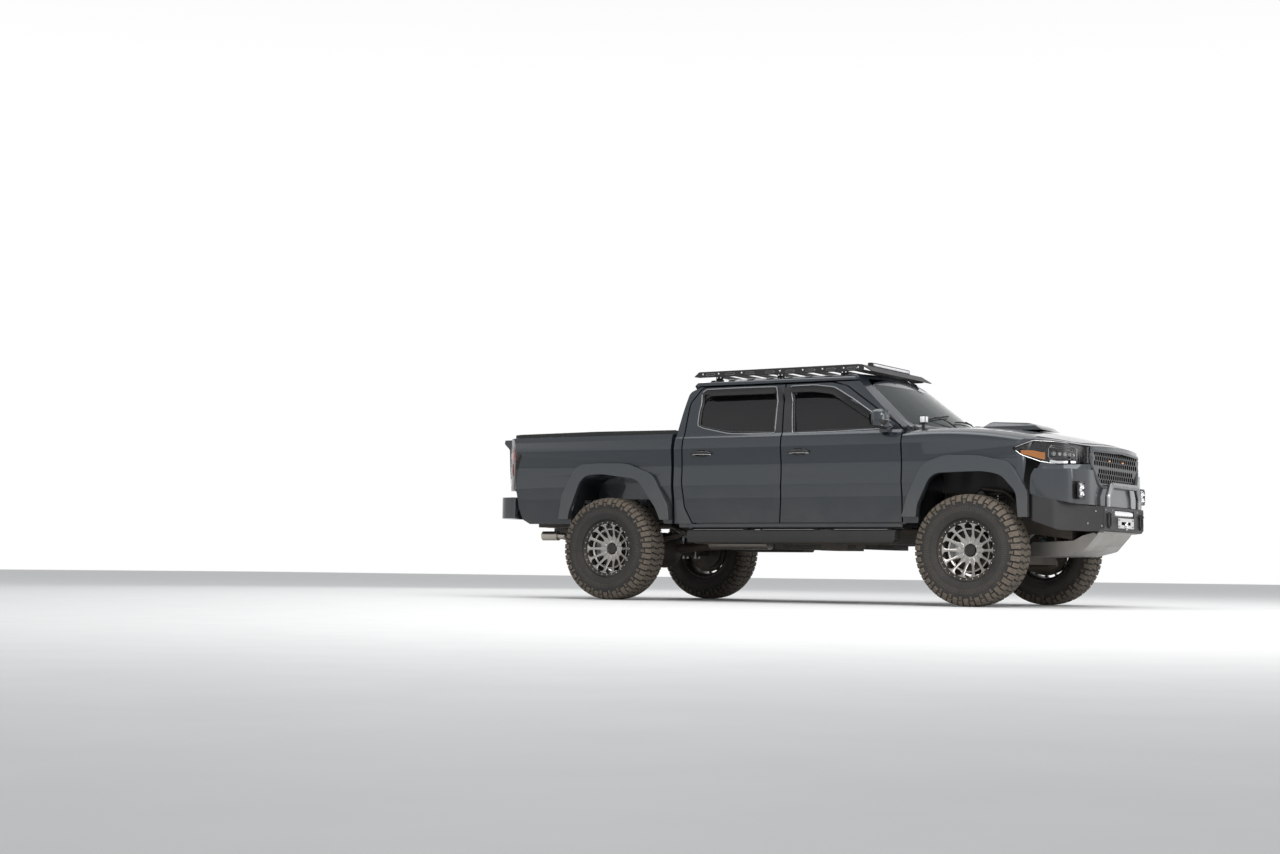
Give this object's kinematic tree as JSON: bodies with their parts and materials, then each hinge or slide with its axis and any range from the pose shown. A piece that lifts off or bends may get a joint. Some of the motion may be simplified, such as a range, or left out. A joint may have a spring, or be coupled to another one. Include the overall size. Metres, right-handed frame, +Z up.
{
  "type": "lifted off-road pickup truck",
  "caption": "Lifted double-cab off-road pickup with steel winch bumper, roof rack, sliders, hard bed cover and mud tyres, in movable pieces.",
  "frame": {"origin": "on the ground under the middle of the truck's box", "axes": "+X forward, +Y to the truck's left, +Z up"},
  "size_m": [5.3999, 2.1598, 1.9659],
  "materials": {
    "body_paint": "metallic satin gloss",
    "black_plastic": "grained",
    "screen_glass": "clear",
    "tinted_glass": "dark tint",
    "lamp_lens": "clear lens",
    "pod_lamp": "lens in a small housing",
    "tail_lens": "smoked red",
    "black_steel": "textured powder coat",
    "chassis_black": "satin",
    "tube_metal": "satin",
    "winch_metal": "satin",
    "skid_aluminium": "bare, brushed",
    "cast_metal": "as cast",
    "damper_metal": "gloss",
    "exhaust_steel": "satin",
    "seat_fabric": "woven",
    "rim_metal": "gunmetal satin",
    "tyre_rubber": "matt"
  },
  "bodies": {
    "chassis": {"frame": "chassis_black", "cross_members": "chassis_black", "cab_shell": "body_paint", "cab_glass": "screen_glass", "front_fenders": "body_paint", "bumper_cover": "body_paint", "grille": "black_plastic", "headlights": "lamp_lens", "load_bed": "body_paint", "tail_lights": "tail_lens", "rear_bumper": "body_paint", "wheel_arch_flares": "body_paint", "rocker_sliders": "black_steel", "roof_rack": "black_steel", "rack_fairing": "black_steel", "roof_light_bar": "black_steel", "steel_bumper": "black_steel", "hoop_bar": "tube_metal", "winch": "winch_metal", "recovery_shackles": "black_steel", "bumper_lamps": "lamp_lens", "skid_plate": "skid_aluminium", "engine_and_gearbox": "cast_metal", "front_drive": "cast_metal", "rear_axle": "cast_metal", "leaf_springs": "chassis_black", "dampers": "damper_metal", "control_arms": "chassis_black", "propeller_shafts": "chassis_black", "exhaust": "exhaust_steel", "fuel_tank": "black_plastic", "seats": "seat_fabric", "dashboard": "black_plastic"},
    "hood": {"hood": "body_paint", "hood_lights": "pod_lamp"},
    "tailgate": {"tailgate": "body_paint"},
    "bed_cover": {"tonneau_lid": "black_plastic"},
    "rack_bar": {"steering_rack": "winch_metal"},
    "steering_wheel": {"steering_wheel": "black_plastic"},
    "front_door_left": {"front_door_left": "body_paint", "front_door_glass_left": "tinted_glass", "mirror_left": "black_plastic"},
    "rear_door_left": {"rear_door_left": "body_paint", "rear_door_glass_left": "tinted_glass"},
    "knuckle_left": {"knuckle_left": "cast_metal"},
    "wheel_front_left": {"wheel_front_left": "rim_metal", "tyre_front_left": "tyre_rubber"},
    "wheel_rear_left": {"wheel_rear_left": "rim_metal", "tyre_rear_left": "tyre_rubber"},
    "front_door_right": {"front_door_right": "body_paint", "front_door_glass_right": "tinted_glass", "mirror_right": "black_plastic"},
    "rear_door_right": {"rear_door_right": "body_paint", "rear_door_glass_right": "tinted_glass"},
    "knuckle_right": {"knuckle_right": "cast_metal"},
    "wheel_front_right": {"wheel_front_right": "rim_metal", "tyre_front_right": "tyre_rubber"},
    "wheel_rear_right": {"wheel_rear_right": "rim_metal", "tyre_rear_right": "tyre_rubber"}
  },
  "joints": [
    {"name": "steer_left", "type": "hinge", "parent": "chassis", "child": "knuckle_left", "pos_m": [1.75, 0.712, 0.29], "axis": [0, -0.118, 0.993], "range_deg": [-32, 32]},
    {"name": "steer_right", "type": "hinge", "parent": "chassis", "child": "knuckle_right", "pos_m": [1.75, -0.712, 0.29], "axis": [0, 0.118, 0.993], "range_deg": [-32, 32]},
    {"name": "hood_hinge", "type": "hinge", "parent": "chassis", "child": "hood", "pos_m": [1.24, 0, 1.393], "axis": [0, -1, 0], "range_deg": [0, 50]},
    {"name": "front_door_hinge_left", "type": "hinge", "parent": "chassis", "child": "front_door_left", "pos_m": [1.13, 0.903, 1.0775], "axis": [0, 0, -1], "range_deg": [0, 65]},
    {"name": "rear_door_hinge_left", "type": "hinge", "parent": "chassis", "child": "rear_door_left", "pos_m": [0.078, 0.903, 1.0775], "axis": [0, 0, -1], "range_deg": [0, 65]},
    {"name": "front_door_hinge_right", "type": "hinge", "parent": "chassis", "child": "front_door_right", "pos_m": [1.13, -0.903, 1.0775], "axis": [0, 0, 1], "range_deg": [0, 65]},
    {"name": "rear_door_hinge_right", "type": "hinge", "parent": "chassis", "child": "rear_door_right", "pos_m": [0.078, -0.903, 1.0775], "axis": [0, 0, 1], "range_deg": [0, 65]},
    {"name": "tailgate_hinge", "type": "hinge", "parent": "chassis", "child": "tailgate", "pos_m": [-2.56, 0, 0.95], "axis": [0, -1, 0], "range_deg": [0, 88]},
    {"name": "bed_cover_hinge", "type": "hinge", "parent": "chassis", "child": "bed_cover", "pos_m": [-0.888, 0, 1.397], "axis": [0, 1, 0], "range_deg": [0, 35]},
    {"name": "rack_slide", "type": "slide", "parent": "chassis", "child": "rack_bar", "axis": [0, 1, 0], "range_m": [-0.085, 0.085]},
    {"name": "steering_wheel_turn", "type": "hinge", "parent": "chassis", "child": "steering_wheel", "pos_m": [0.74, 0.402, 1.18], "axis": [-0.9063, 0, 0.4226], "range_deg": [-450, 450]},
    {"name": "wheel_spin_front_left", "type": "hinge", "parent": "knuckle_left", "child": "wheel_front_left", "pos_m": [1.75, 0.834, 0.43], "axis": [0, 1, 0], "continuous": true},
    {"name": "wheel_spin_front_right", "type": "hinge", "parent": "knuckle_right", "child": "wheel_front_right", "pos_m": [1.75, -0.834, 0.43], "axis": [0, 1, 0], "continuous": true},
    {"name": "wheel_spin_rear_left", "type": "hinge", "parent": "chassis", "child": "wheel_rear_left", "pos_m": [-1.486, 0.834, 0.43], "axis": [0, 1, 0], "continuous": true},
    {"name": "wheel_spin_rear_right", "type": "hinge", "parent": "chassis", "child": "wheel_rear_right", "pos_m": [-1.486, -0.834, 0.43], "axis": [0, 1, 0], "continuous": true}
  ],
  "couplings": [
    {"joint": "steer_right", "follows": "steer_left", "ratio": 1},
    {"joint": "rack_slide", "follows": "steer_left", "m_per_rad": 0.135},
    {"joint": "steering_wheel_turn", "follows": "steer_left", "ratio": 14}
  ]
}
